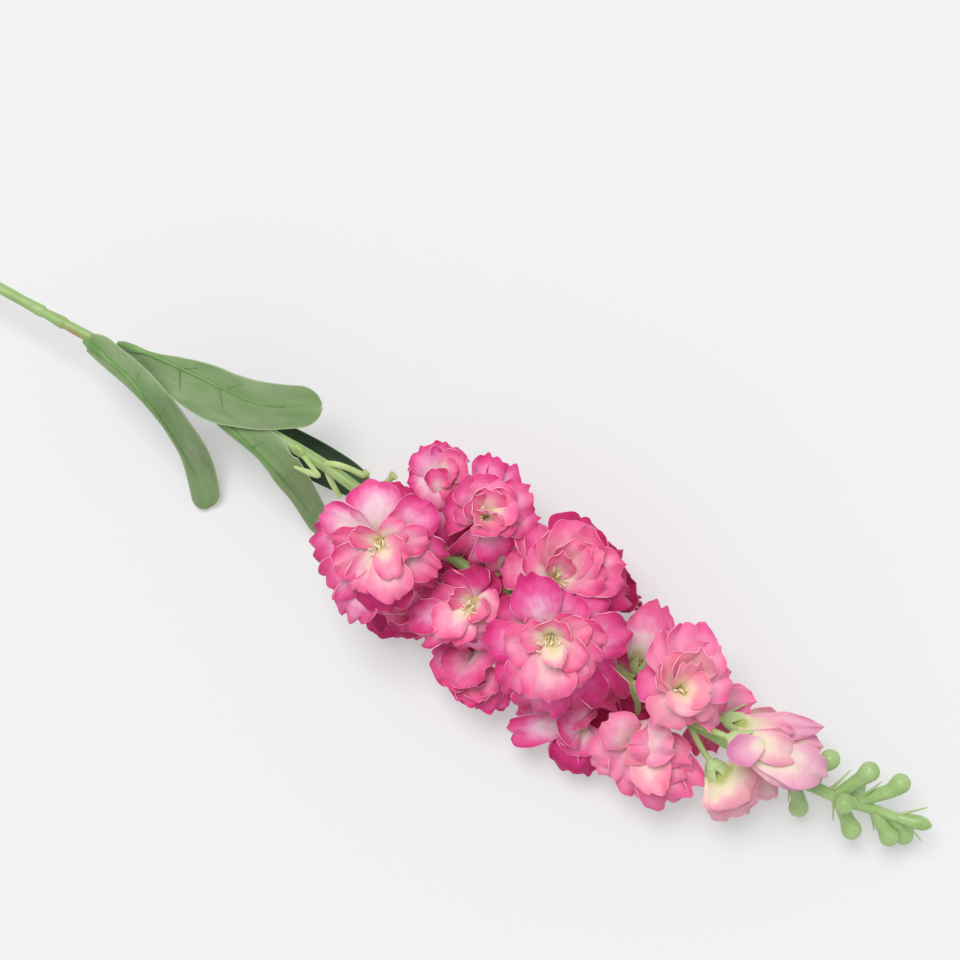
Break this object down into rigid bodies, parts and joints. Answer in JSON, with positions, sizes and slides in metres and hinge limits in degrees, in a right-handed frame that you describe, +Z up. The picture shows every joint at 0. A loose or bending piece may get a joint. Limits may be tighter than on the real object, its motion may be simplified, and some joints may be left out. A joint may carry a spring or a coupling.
{
  "type": "artificial delphinium stem",
  "caption": "Artificial delphinium stem that lies on its side: a long moulded stem with fabric leaves, a spike of layered pink flowers, paler half-open flowers and a green bud tip.",
  "frame": {"origin": "middle of the bottom of the box round the lying stem", "axes": "+X along the stem from its cut end to the bud tip, +Z up from the surface that it lies on, +Y to the left of that direction seen from above"},
  "size_m": [0.6682, 0.0882, 0.0663],
  "materials": {
    "stem_plastic": "satin moulded plastic",
    "bud_plastic": "satin moulded plastic",
    "leaf_fabric_back": "pale woven back of a printed leaf",
    "leaf_fabric_face": "dark printed face of a leaf",
    "petal_fabric_deep_pink": "printed woven petals, deep pink towards the edge",
    "petal_fabric_pink": "printed woven petals, clear pink",
    "petal_fabric_pale": "printed woven petals, pale lilac pink"
  },
  "bodies": {
    "root": {"stem": "stem_plastic", "bud_tip": "bud_plastic", "leaf_1": "leaf_fabric_back", "leaf_2": "leaf_fabric_back", "leaf_3": "leaf_fabric_back", "leaf_4": "leaf_fabric_face", "bloom_01": "petal_fabric_deep_pink", "bloom_02": "petal_fabric_deep_pink", "bloom_03": "petal_fabric_deep_pink", "bloom_04": "petal_fabric_deep_pink", "bloom_05": "petal_fabric_deep_pink", "bloom_06": "petal_fabric_deep_pink", "bloom_07": "petal_fabric_deep_pink", "bloom_08": "petal_fabric_deep_pink", "bloom_09": "petal_fabric_deep_pink", "bloom_10": "petal_fabric_deep_pink", "bloom_11": "petal_fabric_pink", "bloom_12": "petal_fabric_pink", "bloom_13": "petal_fabric_pink", "bloom_14": "petal_fabric_deep_pink", "bloom_15": "petal_fabric_deep_pink", "bloom_16": "petal_fabric_deep_pink", "bloom_17": "petal_fabric_deep_pink", "bloom_18": "petal_fabric_deep_pink", "half_open_1": "petal_fabric_pale", "half_open_2": "petal_fabric_pale", "half_open_3": "petal_fabric_pale", "half_open_4": "petal_fabric_pale"}
  },
  "joints": []
}
